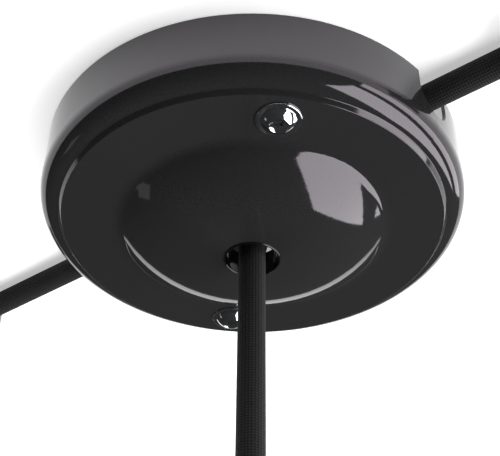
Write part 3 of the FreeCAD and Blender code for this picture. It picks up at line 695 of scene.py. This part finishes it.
@dataclass
class CordRun:
    """One straight stretch of the textile cord."""

    name: str
    axis: Axis
    points_mm: list[Point]
    exit_mm: Point
    far_end: str
    lay: str
    with_nodes: list[str]
    diameter_mm: float = 7.47
    steps_along: int = 24
    steps_around: int = 12

    def length(self) -> float:
        """Work out the run's length.

        Returns:
            The length, in metres.
        """
        first, last = Vector(self.points_mm[0]), Vector(self.points_mm[-1])
        return (last - first).length * MM

    def finish(self) -> Finish:
        """Choose the knit, centred on the cord.

        Returns:
            The sleeve's finish.
        """
        centre = self.points_mm[0][2] if self.axis is Axis.X else 0.0
        return KnittedSleeve(f"rayon_knit_{self.name}", roughness=0.85, ior=1.33,
                             axis=self.axis, centre_mm=centre)

    def lay_out(self) -> bpy.types.Object:
        """Returns:
            The cord.
        """
        data = bpy.data.curves.new(self.name, "CURVE")
        data.dimensions = "3D"
        spline = data.splines.new("NURBS")
        spline.points.add(len(self.points_mm) - 1)
        for point, place in zip(spline.points, self.points_mm):
            point.co = (*[c * MM for c in place], 1.0)
        spline.order_u = 3
        spline.use_endpoint_u = True
        spline.resolution_u = self.steps_along
        data.bevel_depth = self.diameter_mm / 2 * MM
        data.bevel_resolution = self.steps_around
        data.use_fill_caps = True
        cord = bpy.data.objects.new(f"{self.name}_sleeve", data)
        bpy.context.scene.collection.objects.link(cord)
        data.materials.append(self.finish().material())
        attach(cord, "root")
        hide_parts(self.name)
        return cord


@dataclass
class CordSet:
    """The three cords, with what is on their far ends."""

    drop_mm: float = 4.08
    runs: list[CordRun] = field(init=False)

    def __post_init__(self) -> None:
        """List the runs."""
        low = -self.drop_mm
        self.runs = [
            CordRun("right_cord", Axis.X,
                    [(31.5, 0, low), (52, 0, low), (74, 0, low), (95, 0, low)],
                    (60, 0, low), "fitting", "taut", ["right_cord_anchor"]),
            CordRun("left_cord", Axis.X,
                    [(-31.5, 0, low), (-62, 0, low), (-93, 0, low), (-124, 0, low)],
                    (-60, 0, low), "fitting", "taut", ["left_cord_anchor"]),
            CordRun("centre_cord", Axis.Z,
                    [(0, 0, -11), (0, 0, -40), (0, 0, -68), (0, 0, -97)],
                    (0, 0, -32.6), "bare", "hanging",
                    ["tail_neutral_core", "tail_line_core", "tail_neutral_ferrule",
                     "tail_line_ferrule"]),
        ]

    def build(self) -> list[bpy.types.Object]:
        """Make the cords.

        Returns:
            The cords.
        """
        return [run.lay_out() for run in self.runs]


@dataclass
class CoverScrew:
    """A chrome screw of the cover: a round dome with a dished cross recess, on a
    threaded shank.  It stands on the washer below the cover's face.

    The head is a dome of radius dome_mm down to dish_mm, then the dish, whose profile
    gives pairs of radius and depth behind the dome's lip.  Each wing of the cross is a
    box that starts cut_beyond_mm below the lip and narrows to wing_taper of its width.
    """

    label: str
    head_mm: float = 4.6
    dome_mm: float = 6.0
    edge_mm: float = 0.25
    dome_steps: int = 10
    dish_mm: float = 2.5
    dish_profile_mm: tuple[tuple[float, float], ...] = (
        (2.4, 0.0), (2.25, 0.12), (1.5, 0.45), (0.3, 0.6))
    head_sides: int = 64
    wings_mm: Point = (4.4, 1.0, 1.9)
    wing_angles: tuple[float, float] = (45.0, 135.0)
    wing_taper: float = 0.45
    cut_beyond_mm: float = 0.5
    core_mm: float = 2.1
    core_sides: int = 40
    thread_mm: float = 0.4
    thread_steps: int = 24
    thread_margin_mm: float = 0.5
    pitch_mm: float = 0.8
    smooth_angle: float = 32.0

    def __post_init__(self) -> None:
        """Find where the screw stands."""
        low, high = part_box(f"{self.label}_cover_screw")
        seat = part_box(f"{self.label}_screw_washer")[0].z
        self.top: float = high.z
        self.seat = Vector(((low.x + high.x) / 2, (low.y + high.y) / 2, seat))

    def drop(self, radius: float) -> float:
        """Work out how far the dome hangs below the washer.

        Args:
            radius: the distance from the axis, in millimetres.

        Returns:
            The drop, in millimetres.
        """
        rim = math.sqrt(self.dome_mm ** 2 - self.head_mm ** 2)
        return self.edge_mm + math.sqrt(self.dome_mm ** 2 - radius ** 2) - rim

    def rings(self) -> list[tuple[float, float]]:
        """List the head's rings from its seat to the middle of the dish.

        Returns:
            Pairs of radius and drop, in millimetres.
        """
        step = (self.dish_mm - self.head_mm) / self.dome_steps
        radii = [self.head_mm + step * i for i in range(self.dome_steps + 1)]
        lip = self.drop(self.dish_mm)
        dome = [(radius, self.drop(radius)) for radius in radii]
        dish = [(radius, lip - depth) for radius, depth in self.dish_profile_mm]
        return [(self.head_mm, 0.0), *dome, *dish]

    def head(self) -> bpy.types.Object:
        """Draw the head out ring by ring.

        Returns:
            The head, closed.
        """
        rings = self.rings()
        made = added(bpy.ops.mesh.primitive_circle_add, vertices=self.head_sides,
                     radius=rings[0][0] * MM, fill_type="NGON", location=self.seat)
        with editing():
            for (last, above), (radius, below) in zip(rings, rings[1:]):
                bpy.ops.mesh.extrude_region_move(
                    TRANSFORM_OT_translate={"value": (0, 0, (above - below) * MM)})
                bpy.ops.transform.resize(value=(radius / last, radius / last, 1))
            bpy.ops.mesh.select_all(action="SELECT")
            bpy.ops.mesh.normals_make_consistent(inside=False)
        return made

    def cut_wing(self, head: bpy.types.Object, angle: float) -> None:
        """Cut one tapered wing pair of the cross out of the head.

        Args:
            head: the head.
            angle: the wings' direction, in degrees.
        """
        length, width, height = self.wings_mm
        middle_drop = self.drop(self.dish_mm) + self.cut_beyond_mm - height / 2
        cutter = added(bpy.ops.mesh.primitive_cube_add, size=1,
                       location=self.seat - Vector((0, 0, middle_drop * MM)),
                       rotation=(0, 0, math.radians(angle)),
                       scale=(length * MM, width * MM, height * MM))
        for face in cutter.data.polygons:
            face.select = face.normal.z > 0.9
        with editing(everything=False):
            bpy.ops.transform.resize(value=(self.wing_taper, self.wing_taper, 1))
        cut = head.modifiers.new("cross", "BOOLEAN")
        cut.operation, cut.object, cut.solver = "DIFFERENCE", cutter, "EXACT"
        bpy.context.view_layer.objects.active = head
        bpy.ops.object.modifier_apply(modifier=cut.name)
        bpy.data.objects.remove(cutter)

    def core(self) -> bpy.types.Object:
        """Make the shank's core.

        Returns:
            The core.
        """
        length = self.top - self.seat.z
        return added(bpy.ops.mesh.primitive_cylinder_add, vertices=self.core_sides,
                     radius=self.core_mm * MM, depth=length,
                     location=self.seat + Vector((0, 0, length / 2)))

    def thread(self) -> bpy.types.Object:
        """Wind a triangle round the core as the thread.

        Returns:
            The thread, closed.
        """
        length_mm = (self.top - self.seat.z) / MM
        start = self.seat + Vector((0, 0, self.thread_margin_mm * MM))
        thread = added(bpy.ops.mesh.primitive_circle_add, vertices=3,
                       radius=self.thread_mm * MM, location=start,
                       rotation=(math.pi / 2, math.pi / 2, 0))
        bpy.ops.object.transform_apply(location=False, rotation=True, scale=True)
        with editing():
            bpy.ops.transform.translate(value=(self.core_mm * MM, 0, 0))
        winding = thread.modifiers.new("winding", "SCREW")
        winding.screw_offset = self.pitch_mm * MM
        winding.iterations = int((length_mm - 2 * self.thread_margin_mm) / self.pitch_mm)
        winding.steps = winding.render_steps = self.thread_steps
        bpy.ops.object.modifier_apply(modifier=winding.name)
        with editing():
            bpy.ops.mesh.fill_holes(sides=3)
            bpy.ops.mesh.select_all(action="SELECT")
            bpy.ops.mesh.normals_make_consistent(inside=False)
        return thread

    def build(self, finish: bpy.types.Material) -> bpy.types.Object:
        """Make the screw in place of its plain node.

        Args:
            finish: the chrome's material.

        Returns:
            The screw.
        """
        head = self.head()
        for angle in self.wing_angles:
            self.cut_wing(head, angle)
        pieces = [head, self.core(), self.thread()]
        bpy.ops.object.select_all(action="DESELECT")
        for piece in pieces:
            piece.select_set(True)
        bpy.context.view_layer.objects.active = head
        bpy.ops.object.join()
        bpy.ops.object.transform_apply(location=True, rotation=True, scale=True)
        bpy.ops.object.shade_smooth_by_angle(angle=math.radians(self.smooth_angle))
        head.name = f"{self.label}_cover_screw_detailed"
        head.data.materials.clear()
        head.data.materials.append(finish)
        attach(head, "root")
        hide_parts(f"{self.label}_cover_screw")
        return head


@dataclass
class Wardrobe:
    """The finishes of the pieces that keep their CAD shape."""

    enamel: Finish = StovedEnamel("stoved_enamel", roughness=0.06, ior=1.55)
    zinc: Finish = ZincPlating("zinc_plating", roughness=0.36, metallic=1.0)
    bright: Finish = BrightMetal("bright_steel", roughness=0.24, metallic=1.0,
                                 colour="#D2D4D6", shade="#BFC2C5")
    chrome: Finish = BrightMetal("chrome_plating", roughness=0.07, metallic=1.0)
    brass: Finish = BrightMetal("drawn_brass", roughness=0.28, metallic=1.0,
                                colour="#D9B36A", shade="#C79C50")
    nylon: Finish = MouldedPlastic("black_nylon", roughness=0.32,
                                   colour="#101012", deep="#0B0B0D")
    polished: Finish = MouldedPlastic("polished_nylon", roughness=0.09, texture_mm=1.5,
                                      colour="#101012", deep="#0B0B0D")
    melamine: Finish = MouldedPlastic("white_melamine", roughness=0.42)
    blue: Finish = ExtrudedInsulation("blue_insulation", roughness=0.38)
    brown: Finish = ExtrudedInsulation("brown_insulation", roughness=0.38,
                                       colour="#6A3A20", deep="#57301B")
    tin: Finish = BrightMetal("tinned_copper", roughness=0.3, metallic=1.0,
                              colour="#D6D6D2", shade="#C2C2BE")

    def finish_of(self, name: str) -> Finish:
        """Choose a node's finish by its name, by the first rule that fits.

        Args:
            name: the node's name.

        Returns:
            The finish.
        """
        rules: list[tuple[bool, Finish]] = [
            (name in ("rose_cover", "left_cord_anchor", "right_cord_anchor"), self.enamel),
            (name == "mounting_plate" or name.endswith("_saddle"), self.zinc),
            ("cover_screw" in name or "screw_washer" in name, self.chrome),
            (name.endswith("_bar") or "terminal_screw" in name or name.startswith("earth"),
             self.brass),
            ("_screw" in name, self.bright),
            (name == "cord_bush", self.polished),
            (name == "bush_nut", self.nylon),
            (name == "terminal_block", self.melamine),
            (name.endswith("neutral_wire") or name == "tail_neutral_core", self.blue),
            (name.endswith("line_wire") or name == "tail_line_core", self.brown),
            (name.endswith("_ferrule"), self.tin),
            (name.endswith("_cord"), self.nylon),
        ]
        return next(finish for fits, finish in rules if fits)

    def dress(self) -> int:
        """Give every CAD node its finish.

        Returns:
            How many nodes were dressed.
        """
        made: dict[str, bpy.types.Material] = {}
        for name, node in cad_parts.items():
            finish = self.finish_of(name)
            if finish.name not in made:
                made[finish.name] = finish.material()
            node.data.materials.clear()
            node.data.materials.append(made[finish.name])
        return len(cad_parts)


def main() -> None:
    """Build the scene piece by piece."""
    logging.basicConfig(level=logging.INFO, format="%(message)s")
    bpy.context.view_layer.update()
    bpy.ops.object.select_all(action="DESELECT")
    Photographer().shoot()
    for cord in CordSet().build():
        LOG.info("cord %s", cord.name)
    wardrobe = Wardrobe()
    LOG.info("dressed %d nodes", wardrobe.dress())
    chrome = wardrobe.chrome.material()
    for label in ("front", "rear"):
        LOG.info("screw %s", CoverScrew(label).build(chrome).name)
    Studio().set_up()
    bpy.context.scene.view_settings.view_transform = "Standard"


if __name__ == "__main__":
    main()
